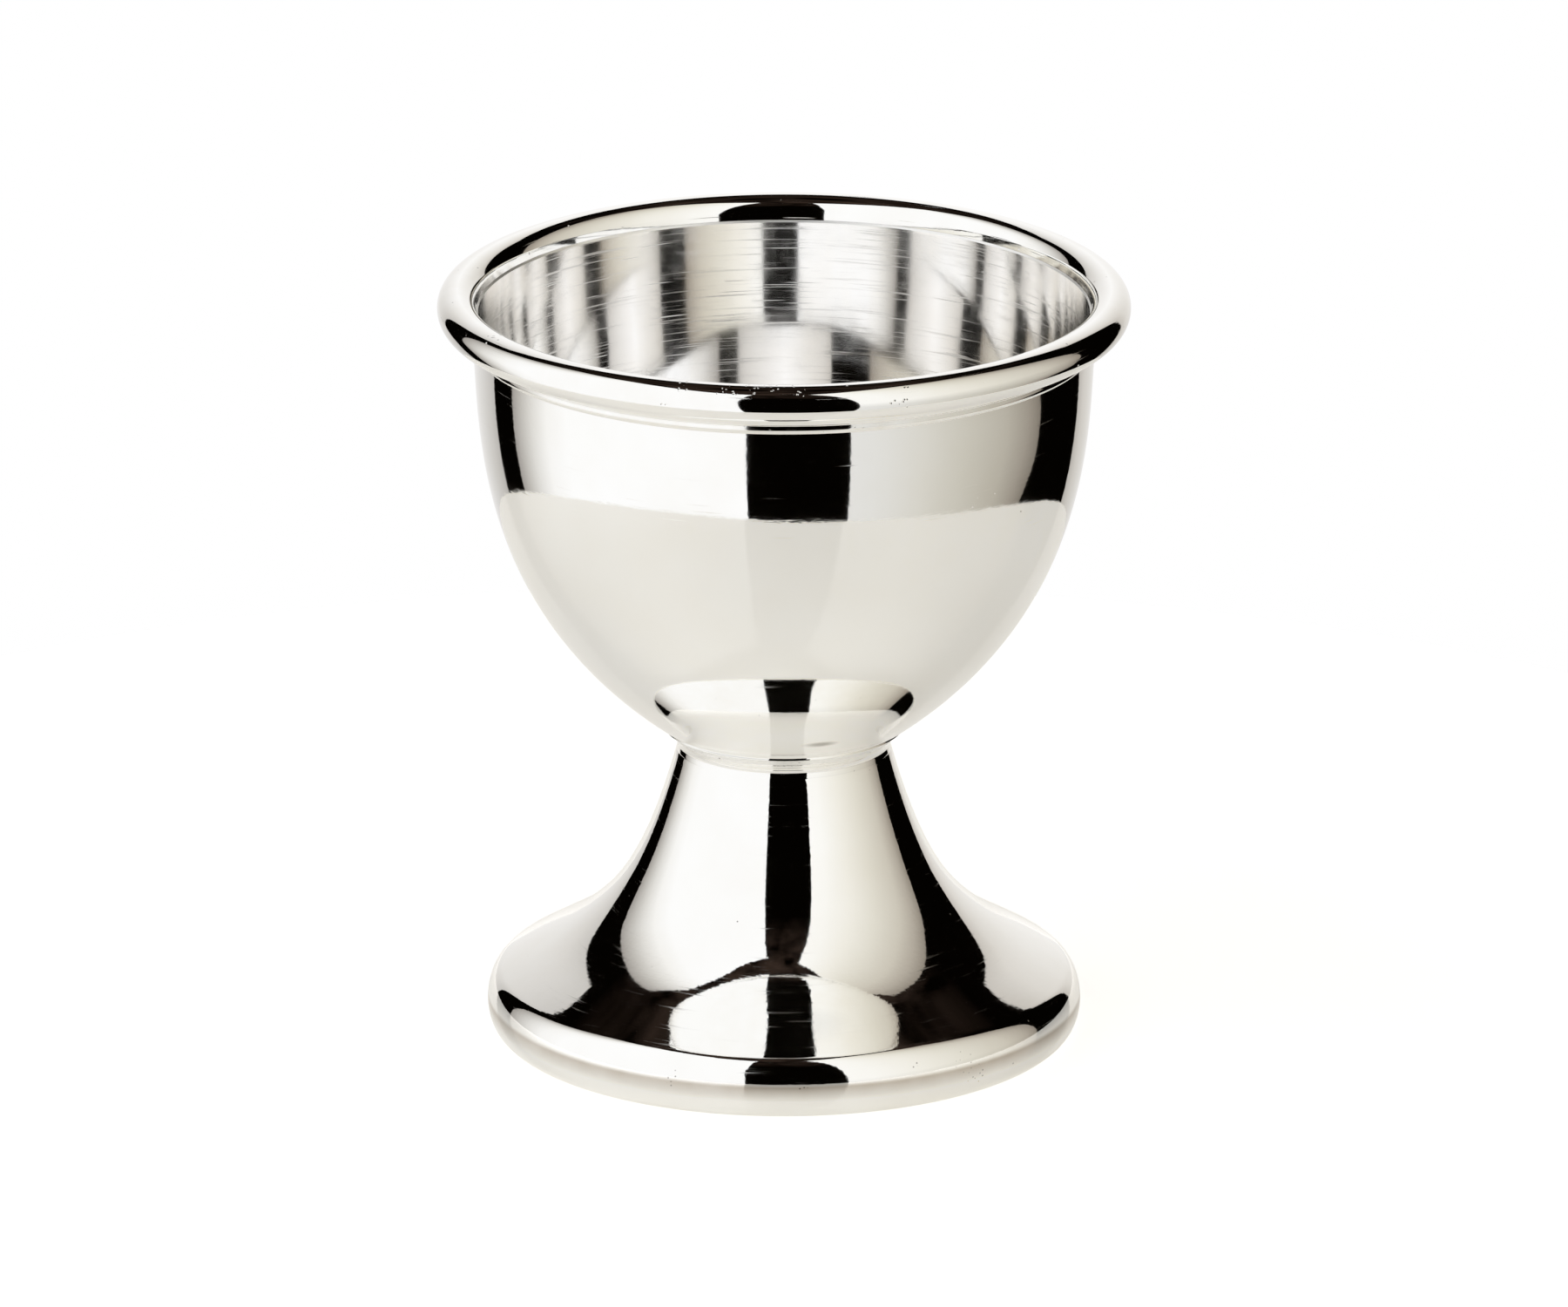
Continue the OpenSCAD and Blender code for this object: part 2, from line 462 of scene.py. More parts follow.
def run(guides: np.ndarray, steps: int, right: float = 0.0) -> np.ndarray:
    """Follows a cubic curve, or runs beside it at a distance.

    Args:
        guides: Its four guide points.
        steps: How many equal steps of the curve's own parameter to take.
        right: How far to the right of the curve's heading the places lie.

    Returns:
        The places, both ends among them.
    """
    t = np.linspace(0, 1, steps + 1)[:, None]
    curve = (guides[0] * (1 - t) ** 3 + guides[1] * 3 * t * (1 - t) ** 2
             + guides[2] * 3 * t ** 2 * (1 - t) + guides[3] * t ** 3)
    return curve + right * right_of(headings(guides, steps))


@dataclass(frozen=True)
class Stretch:
    """A smooth stretch of a section, with the number of the finish that its surface gets."""

    places: np.ndarray
    finish: int = 0

    @classmethod
    def through(cls, *parts: np.ndarray, finish: int = 0) -> "Stretch":
        """Joins single places and rows of places, in order, into one stretch."""
        return cls(np.concatenate([np.atleast_2d(part) for part in parts]), finish)


@dataclass
class Section:
    """The outline that a piece is turned from, with a sharp edge between one stretch and the next.

    Each stretch starts where the one before it ends. The outline closes on itself, unless both its ends are
    on the axis.
    """

    stretches: Sequence[Stretch]
    places: np.ndarray = field(init=False)
    on_axis: bool = field(init=False)

    def __post_init__(self) -> None:
        """Joins the stretches, each without the place that it shares with the next one."""
        end = self.stretches[-1].places[-1:]
        self.on_axis = bool(self.stretches[0].places[0][0] == 0 and end[0][0] == 0)
        parts = [stretch.places[:-1] for stretch in self.stretches]
        self.places = np.concatenate([*parts, end] if self.on_axis else parts)

    def finishes(self) -> list[int]:
        """Gives the number of the finish between each place and the next."""
        return [stretch.finish for stretch in self.stretches for _ in stretch.places[1:]]

    def sharp_rings(self) -> np.ndarray:
        """Counts the rings of corners before each sharp edge; a place on the axis has no ring."""
        starts = np.cumsum([0] + [len(stretch.places) - 1 for stretch in self.stretches[:-1]])
        return starts[1:] - 1 if self.on_axis else starts

    def along(self) -> np.ndarray:
        """Measures the way along the outline.

        Returns:
            The distance to each place, and last the whole way round.
        """
        steps = np.linalg.norm(np.diff(self.places, axis=0, append=self.places[:1]), axis=1)
        assert steps.min() > 0, "a section has a place twice"
        return np.concatenate([[0], np.cumsum(steps)])

    def outwards(self) -> np.ndarray:
        """Gives the direction out of the surface at each place.

        Returns:
            The unit directions, a row per place.
        """
        after = np.roll(self.places, -1, axis=0) - self.places
        before = self.places - np.roll(self.places, 1, axis=0)
        if self.on_axis:
            after[-1], before[0] = before[-1], after[0]
        return right_of(unit(unit(after) + unit(before)))


@dataclass(frozen=True)
class Waver:
    """The faint unevenness that a hand-held spinning tool and a buff leave in sheet metal.

    It dies out towards the axis from the calm radius in, and there is none on the plane of the table.
    """

    height: float
    seed: int
    waves: int = 7
    lobes: tuple[int, int] = (1, 6)
    length: tuple[float, float] = (7.0, 22.0)
    calm_r: float = 4.0

    def at(self, turn: np.ndarray, section: Section) -> np.ndarray:
        """Gives how far the surface stands out.

        Args:
            turn: Angles round the axis in radians, one per column.
            section: The section that the surface is turned from.

        Returns:
            Heights in millimetres, a row per place of the section and a column per angle.
        """
        pick = np.random.default_rng(self.seed)
        along = section.along()[:len(section.places)]
        total = np.zeros((len(along), len(turn)))
        for _ in range(self.waves):
            lobe = pick.integers(self.lobes[0], self.lobes[1] + 1)
            length = pick.uniform(*self.length)
            across = np.sin(lobe * turn + pick.uniform(0, 2 * math.pi))
            down = np.sin(2 * math.pi * along / length + pick.uniform(0, 2 * math.pi))
            total += np.outer(down, across)
        calm = np.clip(section.places[:, :1] / self.calm_r, 0, 1) * (section.places[:, 1:] > 0)
        return total * self.height / math.sqrt(self.waves) * calm


def turned_faces(numbers: np.ndarray, along: np.ndarray) -> tuple[list[list[int]], np.ndarray]:
    """Joins each row of corners to the next one.

    Args:
        numbers: The corners' numbers, a row per place of the section and a column per angle. A place on the
            axis has one number in its whole row, and triangles meet there.
        along: Distances along the section in millimetres, at least one per row.

    Returns:
        The faces, and for each of their corners the share of a turn and the metres along the section.
    """
    share = np.arange(TURNS + 1) / TURNS
    spread = np.stack([share[:-1], share[1:], share[1:], share[:-1]], axis=1)
    faces, maps = [], []
    for low, high, start, end in zip(numbers, numbers[1:], along * MM, along[1:] * MM):
        corners = np.stack([low, np.roll(low, -1), np.roll(high, -1), high], axis=1)
        rise = np.broadcast_to([start, start, end, end], corners.shape)
        kept = [True, low[0] != low[1], high[0] != high[1], True]
        faces += corners[:, kept].tolist()
        maps.append(np.stack([spread, rise], axis=2)[:, kept].reshape(-1, 2))
    return faces, np.concatenate(maps)


def lathe(name: str, stretches: Sequence[Stretch], finishes: Sequence[SilverFinish],
          nodes: Sequence[str], waver: Waver) -> Object:
    """Turns a section round the axis and dresses the piece.

    Args:
        name: The piece's name.
        stretches: The stretches of its section.
        finishes: The finishes that the stretches' numbers count.
        nodes: The CAD nodes that the piece stands for.
        waver: The unevenness of its surface.

    Returns:
        The piece, riding on the part's body.
    """
    section = Section(stretches)
    turn = np.linspace(0, 2 * math.pi, TURNS, endpoint=False)
    height = waver.at(turn, section)
    outwards = section.outwards()
    radius = section.places[:, :1] + outwards[:, :1] * height
    level = section.places[:, 1:] + outwards[:, 1:] * height
    rings = np.stack([radius * np.cos(turn), radius * np.sin(turn), level], axis=2) * MM
    poles = rings[[0, -1], 0]
    if section.on_axis:
        rings = rings[1:-1]
    verts = rings.reshape(-1, 3)
    numbers = np.arange(len(verts)).reshape(-1, TURNS)
    if section.on_axis:
        pole = np.full((1, TURNS), len(verts))
        numbers = np.concatenate([pole, numbers, pole + 1])
        verts = np.concatenate([verts, poles])
    else:
        numbers = np.concatenate([numbers, numbers[:1]])
    faces, maps = turned_faces(numbers, section.along())

    piece = add_mesh(name, verts.tolist(), faces)
    mesh = piece.data
    mesh.polygons.foreach_set("use_smooth", [True] * len(faces))
    mesh.polygons.foreach_set("material_index", np.repeat(section.finishes(), TURNS))
    mesh.uv_layers.new(name=SPIN_MAP).data.foreach_set("uv", maps.astype(np.float32).ravel())
    ends = np.empty(len(mesh.edges) * 2, dtype=np.int32)
    mesh.edges.foreach_get("vertices", ends)
    ring_of = ends.reshape(-1, 2) // TURNS
    sharp = (ring_of[:, 0] == ring_of[:, 1]) & np.isin(ring_of[:, 0], section.sharp_rings())
    mesh.attributes.new("sharp_edge", "BOOLEAN", "EDGE").data.foreach_set("value", sharp)
    mesh.update()
    for finish in finishes:
        mesh.materials.append(finish.material())
    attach(piece, BODY)
    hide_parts(*nodes)
    return piece


# Pieces


@dataclass
class Rim:
    """The round wire that borders the lip, and the solder below it.

    The bowl's sheet is nested behind the wire up to the nest's angle, and the wire's inner side is dressed
    flat from the flat's angle down. The solder runs up behind the wire to the tuck's angle.
    """

    wire_d: float = 2.8
    slack: float = 0.004
    nest_deg: float = 188.2
    flat_deg: float = 170.0
    flat_h: float = 0.45
    wire_steps: int = 96
    solder_t: float = 0.18
    solder_h: float = 1.225
    edge_h: float = 0.39
    fillet_r: float = 0.53
    fillet_steps: int = 14
    tuck_deg: float = 195.0
    wire_middle: np.ndarray = field(init=False)
    wire_r: float = field(init=False)

    def __post_init__(self) -> None:
        """Takes the ring's place from the CAD wire."""
        low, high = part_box("rim_wire")
        reach = min(high.x, high.y, -low.x, -low.y)
        self.wire_r = self.wire_d / 2
        self.wire_middle = np.array([reach, high.z]) / MM - self.wire_r

    def build(self, bowl: "Bowl") -> list[Object]:
        """Makes the wire ring and the solder that border the bowl's lip."""
        return [self.build_wire(), self.build_solder(bowl)]

    def flat(self, radius: float) -> np.ndarray:
        """Lays out the flat on the wire's inner side, where it is dressed down to the lip.

        Args:
            radius: The wire's own radius.

        Returns:
            Both ends of the flat.
        """
        lean = math.radians(180 - self.flat_deg)
        start = self.wire_middle + radius * np.array([-math.cos(lean), math.sin(lean)])
        return np.array([start, start - self.flat_h * np.array([math.tan(lean), 1.0])])

    def build_wire(self) -> Object:
        """Makes the wire ring.

        Returns:
            The piece.
        """
        radius = self.wire_r - self.slack
        around = arc(self.wire_middle, radius, self.nest_deg - 360, self.flat_deg, self.wire_steps)
        end = self.flat(radius)[1]
        return lathe("rim_wire_ring", [Stretch.through(around, end), Stretch.through(end, around[0])],
                     [BUFFED_WIRE], ["rim_wire"], Waver(0.003, seed=3, length=(2.0, 5.0)))

    def build_solder(self, bowl: "Bowl") -> Object:
        """Makes the solder band, which curves out to meet the wire and is rounded off below.

        Args:
            bowl: The bowl whose side it is drawn along.

        Returns:
            The piece.
        """
        foot = self.wire_middle[1] - self.wire_r - self.solder_h
        side = bowl.side_from(foot)
        skin = bowl.side_from(foot, self.solder_t)
        reach = self.wire_r + self.fillet_r
        face = skin[skin[:, 1] > foot + self.edge_h]
        out = face[-1][0] + self.fillet_r - self.wire_middle[0]
        middle = self.wire_middle + np.array([out, -math.sqrt(reach ** 2 - out ** 2)])
        face = face[face[:, 1] < middle[1]]
        to_wire = bearing(middle, self.wire_middle)
        fillet = arc(middle, self.fillet_r, 180, to_wire, self.fillet_steps)
        share = np.linspace(0, 1, SEAT_STEPS + 1)
        edge = np.stack([side[0][0] + (face[0][0] - side[0][0]) * share,
                         foot + self.edge_h * (1 - np.sqrt(1 - share ** 2))], axis=1)
        under = arc(self.wire_middle, self.wire_r, 180 + to_wire, self.tuck_deg, SEAT_STEPS)
        back = side[side[:, 1] < under[-1][1]][::-1]
        return lathe("rim_solder_band",
                     [Stretch.through(edge, face[1:], fillet), Stretch.through(fillet[-1], under[1:]),
                      Stretch.through(under[-1], back)],
                     [DRESSED_SOLDER], ["rim_solder"], Waver(0.002, seed=5, length=(1.5, 4.0)))


@dataclass
class Bowl:
    """The spun bowl: one sheet, mirror-bright outside and satin inside."""

    seat: np.ndarray
    rim: Rim
    wall: float = 0.7
    lip_edge_w: float = 0.2
    lip_drop: float = 0.35
    bevel_w: float = 0.1
    bevel_h: float = 0.16
    brim_h: float = 8.0
    brim_probe: float = 0.1
    rise_deg: float = 34.8
    lead_share: float = 1.12
    top_shares: tuple[float, float] = (0.92, 0.837)
    steps: int = 96
    solder_steps: int = 768
    bottom_steps: int = 28
    nest_steps: int = 6
    side: np.ndarray = field(init=False)
    bottom_r: float = field(init=False)
    bottom_middle: np.ndarray = field(init=False)

    def __post_init__(self) -> None:
        """Works out the side's curve and the ball that its round bottom is part of."""
        lip_r = self.rim.wire_middle[0] - self.rim.wire_r - self.lip_edge_w + self.wall
        lip = np.array([lip_r, self.rim.wire_middle[1] - self.lip_drop])
        rise = math.radians(self.rise_deg)
        lead = (lip[0] - self.seat[0]) * self.lead_share
        self.side = np.array([self.seat, self.seat + lead * np.array([1, math.tan(rise)]),
                              between(self.seat, lip, self.top_shares), lip])
        self.bottom_r = self.seat[0] / math.sin(rise)
        self.bottom_middle = np.array([0, self.seat[1] + self.bottom_r * math.cos(rise)])

    def skin(self, grow: float) -> np.ndarray:
        """Follows the bowl from the axis to the lip.

        Args:
            grow: How far out of the bowl's outside the places lie.

        Returns:
            The places.
        """
        start = arc(self.bottom_middle, self.bottom_r + grow, -90, self.rise_deg - 90, self.bottom_steps)
        start[0][0] = 0
        return np.concatenate([start, run(self.side, self.steps, grow)[1:]])

    def side_from(self, height: float, grow: float = 0.0) -> np.ndarray:
        """Follows the top of the bowl's side.

        Args:
            height: Where to start.
            grow: How far out of the side the places lie.

        Returns:
            The places up to the lip.
        """
        skin = run(self.side, self.solder_steps, grow)
        start = [np.interp(height, skin[:, 1], skin[:, 0]), height]
        return np.concatenate([[start], skin[skin[:, 1] > height]])

    def bottom(self, start_r: float, end_r: float) -> np.ndarray:
        """Follows the outside of the round bottom from one radius to another."""
        start, end = (math.degrees(math.asin(r / self.bottom_r)) - 90 for r in (start_r, end_r))
        return arc(self.bottom_middle, self.bottom_r, start, end, SEAT_STEPS)

    def straightened(self, inside: np.ndarray, bevel: np.ndarray) -> np.ndarray:
        """Runs the inside nearly straight up to its edge, where the sheet is dressed thinner.

        Args:
            inside: The inside, from near the lip down to the axis.
            bevel: The place where the inside ends, below the lip's bevel.

        Returns:
            The inside with its top bent outwards to that place.
        """
        start = bevel[1] - self.brim_h
        heights = [start, start + self.brim_probe]
        radius, above = np.interp(heights, inside[::-1, 1], inside[::-1, 0])
        lean = (above - radius) / self.brim_probe
        up = np.clip(inside[:, 1] - start, 0, None)
        bend = (bevel[0] - radius - lean * self.brim_h) * (up / self.brim_h) ** 2
        brim = np.where(up > 0, radius + lean * up + bend, inside[:, 0])
        return np.stack([brim, inside[:, 1]], axis=1)

    def build(self) -> list[Object]:
        """Makes the bowl.

        Returns:
            The one piece.
        """
        outside, inside = self.skin(0), self.skin(-self.wall)[::-1]
        wire = self.rim.wire_middle
        outside = outside[np.linalg.norm(outside - wire, axis=1) > self.rim.wire_r]
        touch = bearing(wire, outside[-1]) % 360
        nest = arc(wire, self.rim.wire_r, touch, self.rim.nest_deg, self.nest_steps)
        edge = self.rim.flat(self.rim.wire_r)[1] - np.array([0, self.rim.slack])
        bevel = edge - np.array([self.bevel_w, self.bevel_h])
        wall = self.straightened(inside[inside[:, 1] < bevel[1]], bevel)
        return [lathe("bowl_shell",
                      [Stretch.through(outside, nest[0]), Stretch(nest), Stretch.through(nest[-1], edge),
                       Stretch.through(edge, bevel, finish=2), Stretch.through(bevel, wall, finish=1)],
                      [MIRROR_PLATE, SATIN_PLATE, FILED_PLATE], ["bowl"], Waver(0.005, seed=11))]


@dataclass
class Foot:
    """The spun trumpet foot, hollow below, with its edge turned under into a hem.

    The wave is a shallow swell and hollow that the spinning tool left across the flare, and the groove is the
    fine line that it left round the neck. The seam is the solder between the foot's top and the bowl, and its
    crest is given from the place where the bowl's side begins.
    """

    wall: float = 0.8
    neck_d: float = 15.4
    neck_h: float = 21.7
    flare_h: float = 0.85
    flare_w: float = 0.4
    neck_top_shares: tuple[float, float] = (0.25, 0.65)
    neck_lead_share: float = 0.3
    shoulder_h: float = 4.64
    shoulder_inset: float = 1.05
    flare_shares: tuple[tuple[float, float], ...] = ((0, 0), (0.494, 0.2244), (0.74, 0.2676), (1, 1))
    rest_inset: float = 1.6
    rest_w: float = 0.7
    hem_r: float = 1.2
    hem_steps: int = 12
    edge_lead: float = 1.78
    edge_roll: float = 1.99
    curve_steps: tuple[int, int, int] = (12, 90, 36)
    groove_h: float = 21.35
    groove_w: float = 0.16
    groove_depth: float = 0.012
    groove_shares: tuple[float, ...] = (1.0, 0.5, 0.0, -0.5, -1.0)
    wave_r: float = 14.9
    wave_w: float = 1.7
    wave_h: float = 0.075
    seam_gap: float = 0.2
    seam_w: float = 0.5
    seam_sag: float = 0.05
    seam_crest: tuple[tuple[float, float], ...] = ((0.07, -0.03), (0.13, -0.005), (0.075, 0.052))
    neck: np.ndarray = field(init=False)
    top: np.ndarray = field(init=False)
    rest: np.ndarray = field(init=False)
    curves: list[np.ndarray] = field(init=False)

    def __post_init__(self) -> None:
        """Works out the outline's curves from the CAD foot's radius and the sizes."""
        _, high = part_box("foot")
        foot_r = high.x / MM
        self.neck = np.array([self.neck_d / 2, self.neck_h])
        self.top = self.neck + np.array([self.flare_w, self.flare_h])
        shoulder = np.array([foot_r - self.shoulder_inset, self.shoulder_h])
        self.rest = np.array([foot_r - self.rest_inset, 0.0])
        flare = np.array([between(shoulder, self.neck, share) for share in self.flare_shares])[::-1]
        first, last = headings(flare, 1)
        neck_top = np.array([self.top, between(self.neck, self.top, self.neck_top_shares),
                             self.neck - first * self.flare_h * self.neck_lead_share, self.neck])
        edge = np.array([shoulder, shoulder + last * self.edge_lead,
                         self.rest + np.array([self.edge_roll, 0]), self.rest])
        self.curves = [neck_top, flare, edge]

    def seat(self, rise_deg: float) -> np.ndarray:
        """Gives the place where the bowl's side begins, over the foot's top."""
        rise = self.seam_w * math.tan(math.radians(rise_deg))
        return self.top + np.array([self.seam_w, rise + self.seam_gap])

    def skin(self, depth: float) -> np.ndarray:
        """Follows the foot from its top to the ring that it stands on.

        Args:
            depth: How deep in the sheet the places lie.

        Returns:
            The places.
        """
        top, flare, edge = (run(curve, steps, depth) for curve, steps in zip(self.curves, self.curve_steps))
        off = (flare[:, 0] - self.wave_r) / self.wave_w
        flare[:, 1] -= self.wave_h * off * np.exp(-off ** 2 / 2)
        return np.concatenate([top, flare[1:], edge[1:]])

    def grooved(self, skin: np.ndarray) -> np.ndarray:
        """Cuts the fine line that runs round the neck.

        Args:
            skin: The outside, from the foot's top down.

        Returns:
            The outside with the line's places added.
        """
        share = np.array(self.groove_shares)
        heights = self.groove_h + self.groove_w / 2 * share
        radii = np.interp(heights, skin[::-1, 1], skin[::-1, 0]) - self.groove_depth * (1 - np.abs(share))
        clear = np.abs(skin[:, 1] - self.groove_h) > self.groove_w / 2
        above = clear & (skin[:, 1] > self.groove_h)
        return np.concatenate([skin[above], np.stack([radii, heights], axis=1), skin[clear & ~above]])

    def build(self, bowl: Bowl) -> list[Object]:
        """Makes the foot, and the solder seam between it and the bowl."""
        return [self.build_shell(bowl), self.build_seam(bowl)]

    def build_shell(self, bowl: Bowl) -> Object:
        """Makes the foot itself.

        Args:
            bowl: The bowl whose bottom it is cut to.

        Returns:
            The piece.
        """
        outside = self.grooved(self.skin(0))
        inside = self.skin(self.wall)[::-1]
        inside = inside[np.linalg.norm(inside - bowl.bottom_middle, axis=1) > bowl.bottom_r]
        hem_middle = np.array([self.rest[0] - self.rest_w, self.hem_r])
        hem = arc(hem_middle, self.hem_r, 270, 180, self.hem_steps)
        tuck = arc(hem_middle, self.hem_r - self.wall, 180, 270, SEAT_STEPS)
        saddle = bowl.bottom(inside[-1][0], outside[0][0] - self.seam_gap)
        return lathe("foot_shell",
                     [Stretch(outside), Stretch.through(outside[-1], hem[0], finish=1),
                      Stretch(hem, finish=1), Stretch.through(hem[-1], tuck[0], finish=1),
                      Stretch.through(tuck, inside, finish=1), Stretch.through(inside[-1], saddle, finish=1),
                      Stretch.through(saddle[-1], outside[0])],
                     [FOOT_PLATE, PLAIN_PLATE], ["foot"], Waver(0.004, seed=23))

    def build_seam(self, bowl: Bowl) -> Object:
        """Makes the solder seam between the foot's top and the bowl.

        Args:
            bowl: The bowl over the seam.

        Returns:
            The piece.
        """
        share = np.linspace(0, 1, SEAT_STEPS + 1)[:, None]
        sag = self.seam_sag * np.sin(share * math.pi) * np.array([-1, 1])
        face = self.top + (bowl.seat - self.top) * share
        crest = bowl.seat + np.array(self.seam_crest)
        under = bowl.bottom(bowl.seat[0], self.top[0] - self.seam_w)
        return lathe("neck_solder_seam",
                     [Stretch(face + sag), Stretch.through(face[-1], crest[:2]), Stretch(crest[1:], finish=1),
                      Stretch.through(crest[-1], under), Stretch.through(under[-1], face[0])],
                     [WIPED_SOLDER, DRESSED_SOLDER], ["neck_solder"],
                     Waver(0.004, seed=31, length=(0.8, 2.0)))


# Studio


@dataclass(frozen=True)
class Wall:
    """A lit wall of the studio, as directions from the cup.

    Azimuths are degrees to the right of the camera, and elevations are degrees above the table. Each side
    edge is a list of (elevation, azimuth) pairs, and the tops and tones go from the left edge to the right.
    """

    name: str
    left: tuple[tuple[float, float], ...]
    right: tuple[tuple[float, float], ...]
    tops: tuple[float, ...]
    tones: tuple[tuple[float, str], ...]
    low_share: float = 0.78
    bottom: float = -50.0


@dataclass
class Studio:
    """A small round table among white walls, with dark gaps between them and a dark ceiling.

    Overhead the dark room's mottling sets in between two heights, which are shares of its radius.
    """

    table_r: float = 101.0
    table_middle: tuple[float, float] = (-3.0, 3.0)
    table_steps: int = 180
    wall_r: float = 3000.0
    wall_steps: tuple[int, int] = (48, 40)
    room_r: float = 4000.0
    room_steps: tuple[int, int] = (96, 48)
    mottle_shares: tuple[float, float] = (0.7, 0.95)
    walls: tuple[Wall, ...] = (
        Wall("left_wall",
             ((-24, -122.7), (-14, -124), (-4, -129.5), (26, -129.5), (34, -127), (42, -125), (54, -126.3),
              (60, -124)),
             ((-24, -14.1), (10, -14.9), (30, -15.7), (45, -15.8), (55, -17), (68, -18.5)),
             (56, 65, 68, 69.6, 69.8, 69, 68.5, 68),
             ((0.0, "A09B96"), (0.06, "C4C1BC"), (0.12, "E0DEDA"), (0.2, "F8F7F5"), (0.3, "FFFFFF")),
             low_share=1.0),
        Wall("right_wall",
             ((-24, 25.2), (10, 24), (31, 23.2), (50, 22.3), (60, 21), (71, 17)),
             ((-26, 106), (-23, 110.5), (-20, 113), (12, 112.3), (37, 114.1), (46, 116.4), (54, 119),
              (62, 121.5)),
             (71, 72.7, 74.3, 75, 74.6, 73.5, 70.8, 62.5),
             ((0.0, "FEFDFA"), (0.12, "FCFBF7"), (0.35, "F1EEE5"), (0.57, "E1DDD1"), (0.8, "CCC6B9"),
              (0.92, "B1A99D"), (1.0, "90887D"))),
        Wall("back_wall",
             ((-20, 144.3), (-8, 145.4), (1, 143), (22, 143.3), (30, 144.1), (39, 143.8), (42, 141.9)),
             ((-24, 221.5), (-17, 221), (-9, 212), (0, 213.5), (22, 216), (31, 217.4), (42, 218.3)),
             (38, 42, 43, 42, 40, 42, 44, 44, 40),
             ((0.0, "C6C1BA"), (0.1, "DCD8D2"), (0.22, "E8E5E0"), (0.35, "F3F1EE"), (0.5, "FDFCFB"),
              (0.65, "F3F1EF"), (0.78, "E8E6E3"), (0.9, "DAD7D3"), (1.0, "C8C5C1"))),
    )
    camera_distance: float = 1500.0
    camera_elevation: float = 18.062
    target_height: float = 28.4
    lens: float = 475.7
    mirror_bounces: int = 12

    def build(self) -> None:
        """Makes the table, walls, dark room, world and camera."""
        self.build_table()
        for wall in self.walls:
            self.build_wall(wall)
        self.build_room()
        self.build_world()
        self.build_camera()
        bpy.context.scene.view_settings.view_transform = "Standard"
        bpy.context.scene.cycles.glossy_bounces = self.mirror_bounces

    def shell(self, name: str, azimuths: np.ndarray, elevations: np.ndarray, radius: float) -> Object:
        """Makes a sheet on a ball round the cup, which the camera doesn't see.

        Args:
            name: The sheet's name.
            azimuths: Degrees to the right of the camera, a row per level and a column per place along it.
            elevations: Degrees above the table, likewise.
            radius: The ball's radius.

        Returns:
            The sheet.
        """
        a, e = np.radians(azimuths), np.radians(elevations)
        verts = radius * MM * np.stack([np.sin(a) * np.cos(e), -np.cos(a) * np.cos(e), np.sin(e)], axis=2)
        rows, columns = azimuths.shape
        numbers = np.arange(rows * columns).reshape(rows, columns)
        faces = np.stack([numbers[:-1, :-1], numbers[:-1, 1:], numbers[1:, 1:], numbers[1:, :-1]], axis=2)
        sheet = add_mesh(name, verts.reshape(-1, 3).tolist(), faces.reshape(-1, 4).tolist())
        corners = faces.ravel()
        across = np.stack([corners % columns / (columns - 1), corners // columns / (rows - 1)], axis=1)
        sheet.data.uv_layers.new(name="across").data.foreach_set("uv", across.astype(np.float32).ravel())
        sheet.visible_camera = False
        return sheet

    def light_up(self, sheet: Object, made: Material, colour: Node,
                 strength: Node | float = 1.0) -> None:
        """Lets a sheet shine in what the cup mirrors.

        Args:
            sheet: The sheet.
            made: Its material, which has the colour's nodes.
            colour: The node of its colour.
            strength: How much of that colour it gives off.
        """
        glow = add_node(made.node_tree, "Emission", {"Color": colour, "Strength": strength})
        add_node(made.node_tree, "OutputMaterial", {"Surface": glow})
        made.cycles.emission_sampling = "NONE"
        sheet.data.materials.append(made)

    def build_wall(self, wall: Wall) -> None:
        """Makes one lit wall.

        Args:
            wall: Its outline and tones.
        """
        across, up = (np.linspace(0, 1, steps + 1) for steps in self.wall_steps)
        tops = np.interp(across, np.linspace(0, 1, len(wall.tops)), wall.tops)
        elevations = wall.bottom + (tops - wall.bottom) * up[:, None]
        left = np.interp(elevations[:, :1], *zip(*wall.left))
        right = np.interp(elevations[:, -1:], *zip(*wall.right))
        sheet = self.shell(wall.name, left + (right - left) * across, elevations, self.wall_r)
        # White paper under lamps: clean white fields in the mirror, greyer along the wall and lower down
        made = bpy.data.materials.new("white_paper_" + wall.name)
        tree = empty_tree(made)
        place = add_node(tree, "TexCoord")
        along = add_node(tree, "SeparateXYZ", {0: place.outputs["UV"]}).outputs
        tone = add_node(tree, "ValToRGB", {"Fac": along[0]})
        stops = tone.color_ramp.elements
        while len(stops) < len(wall.tones):
            stops.new(0.5)
        for stop, (share, colour) in zip(stops, wall.tones):
            stop.position = share
            stop.color = linear(colour)
        shade = add_node(tree, "MapRange", {
            "Value": along[1], "From Min": 0.25, "From Max": 0.45, "To Min": wall.low_share})
        self.light_up(sheet, made, tone, shade)

    def build_room(self) -> None:
        """Makes the dark room behind the walls."""
        azimuths, elevations = np.meshgrid(np.linspace(-180, 180, self.room_steps[0] + 1),
                                           np.linspace(-90, 90, self.room_steps[1] + 1))
        sheet = self.shell("dark_room", azimuths, elevations, self.room_r)
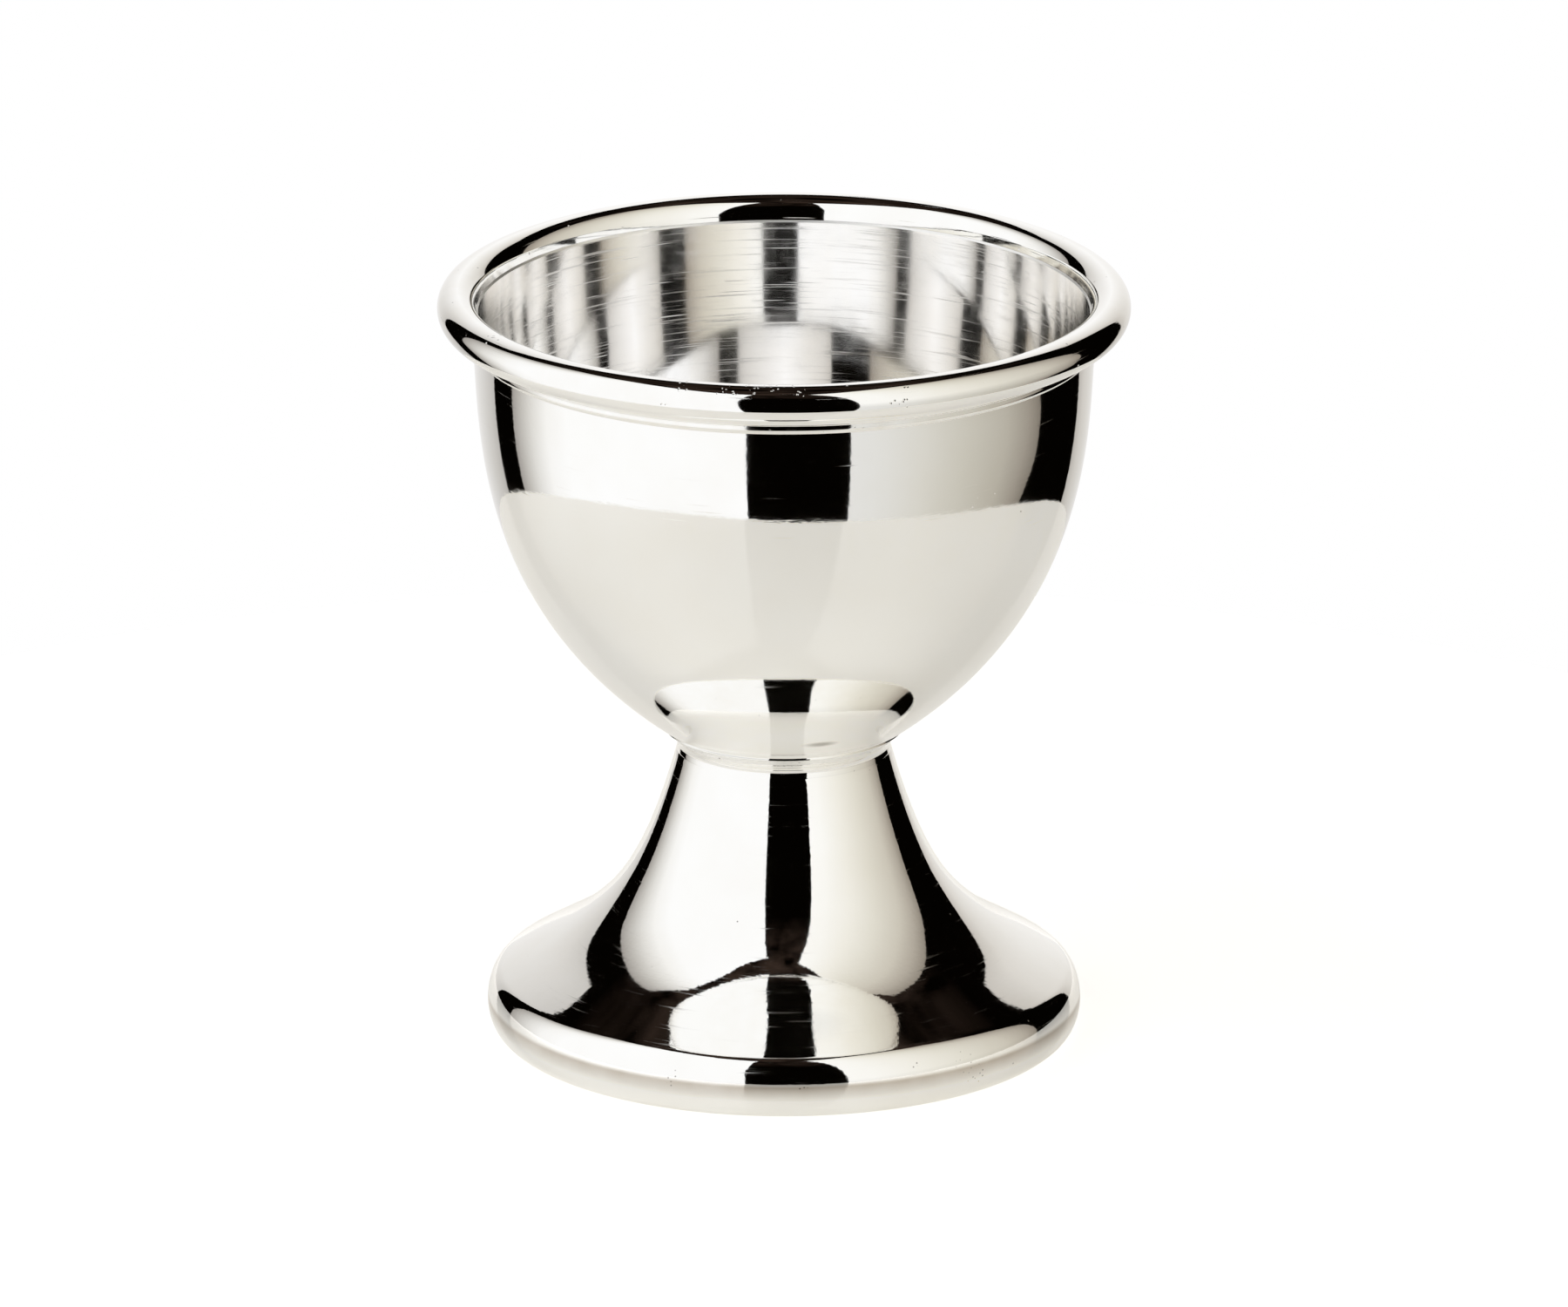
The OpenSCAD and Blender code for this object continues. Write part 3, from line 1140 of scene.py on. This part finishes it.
        # Black cloth under a dim ceiling: deep lines between the white fields, brown and mottled overhead
        made = bpy.data.materials.new("dark_cloth_and_ceiling")
        tree = empty_tree(made)
        place = add_node(tree, "TexCoord")
        height = add_node(tree, "SeparateXYZ", {0: place.outputs["Object"]}).outputs[2]
        low, high = (self.room_r * MM * share for share in self.mottle_shares)
        above = add_node(tree, "MapRange", {"Value": height, "From Min": low, "From Max": high})
        cloth = add_node(tree, "TexNoise", {"Vector": place.outputs["Object"], "Scale": 1.6, "Detail": 4.0})
        patchy = add_node(tree, "MapRange", {"Value": cloth, "From Min": 0.38, "From Max": 0.72})
        share = add_node(tree, "Math", {0: above, 1: patchy}, operation="MULTIPLY")
        black, brown = linear("030201"), linear("3C3029")
        tone = add_node(tree, "Mix", {"Factor": share, "A": black, "B": brown}, data_type="RGBA")
        self.light_up(sheet, made, tone)

    def build_table(self) -> None:
        """Makes the round white table."""
        turn = np.linspace(0, 2 * math.pi, self.table_steps, endpoint=False)
        edge = np.stack([np.cos(turn), np.sin(turn)], axis=1) * self.table_r + self.table_middle
        verts = np.column_stack([edge, np.zeros(self.table_steps)]) * MM
        table = add_mesh("table_top", verts.tolist(), [list(range(self.table_steps))])

        # White laminate, which mirrors the cup a little: plain white with its shadow to the camera, somewhat
        # darker in what the cup mirrors, with a painted glow there that is stronger on the left, and nothing
        # at all from below
        made = bpy.data.materials.new("white_laminate")
        tree = empty_tree(made)
        ray = add_node(tree, "LightPath").outputs
        mirrored = add_node(tree, "Math", {0: ray["Is Glossy Ray"], 1: ray["Is Transmission Ray"]},
                            operation="ADD")
        place = add_node(tree, "TexCoord")
        across = add_node(tree, "SeparateXYZ", {0: place.outputs["Object"]})
        # Painted light: the table glows only in what the cup mirrors, more on the left, as if lit from that
        # side
        lit = add_node(tree, "MapRange", {
            "Value": across, "From Min": -0.1, "From Max": 0.1, "To Min": 0.34, "To Max": 0.26})
        painted_glow = add_node(tree, "Math", {0: lit, 1: mirrored}, operation="MULTIPLY")
        glossy = add_node(tree, "BsdfPrincipled", {
            "Base Color": linear("F4F2EC"), "Roughness": 0.07, "Emission Color": linear("FFFDF8"),
            "Emission Strength": painted_glow})
        plain = add_node(tree, "BsdfDiffuse", {"Color": linear("F4F2EC")})
        white = add_node(tree, "Emission", {"Color": linear("FFFFFF"), "Strength": 0.66})
        bright = add_node(tree, "AddShader", {0: plain, 1: white})
        shown = add_node(tree, "MixShader", {0: ray["Is Camera Ray"], 1: glossy, 2: bright})
        clear = add_node(tree, "BsdfTransparent")
        below = add_node(tree, "NewGeometry").outputs["Backfacing"]
        either = add_node(tree, "MixShader", {0: below, 1: shown, 2: clear})
        add_node(tree, "OutputMaterial", {"Surface": either})
        table.data.materials.append(made)

    def build_world(self) -> None:
        """Makes the world plain white, which the camera sees past the table."""
        world = bpy.data.worlds.new("white_background")
        bpy.context.scene.world = world
        tree = empty_tree(world)
        white = add_node(tree, "Background", {"Color": linear("FFFFFF")})
        add_node(tree, "OutputWorld", {"Surface": white})

    def build_camera(self) -> None:
        """Puts the camera at the photograph's viewing angle."""
        lens = bpy.data.cameras.new("camera")
        lens.lens = self.lens
        camera = bpy.data.objects.new("camera", lens)
        e = math.radians(self.camera_elevation)
        away = self.camera_distance * MM
        camera.location = (0.0, -away * math.cos(e), away * math.sin(e) + self.target_height * MM)
        camera.rotation_euler = (math.pi / 2 - e, 0.0, 0.0)
        bpy.context.scene.collection.objects.link(camera)
        bpy.context.scene.camera = camera


def main() -> None:
    """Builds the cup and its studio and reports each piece."""
    logging.basicConfig(level=logging.INFO, format="%(name)s: %(message)s")
    foot = Foot()
    rim = Rim()
    bowl = Bowl(seat=foot.seat(Bowl.rise_deg), rim=rim)
    for piece in (*bowl.build(), *rim.build(bowl), *foot.build(bowl)):
        log.info("%s: %d faces in %s", piece.name, len(piece.data.polygons),
                 ", ".join(finish.name for finish in piece.data.materials))
    Studio().build()


if __name__ == "__main__":
    main()
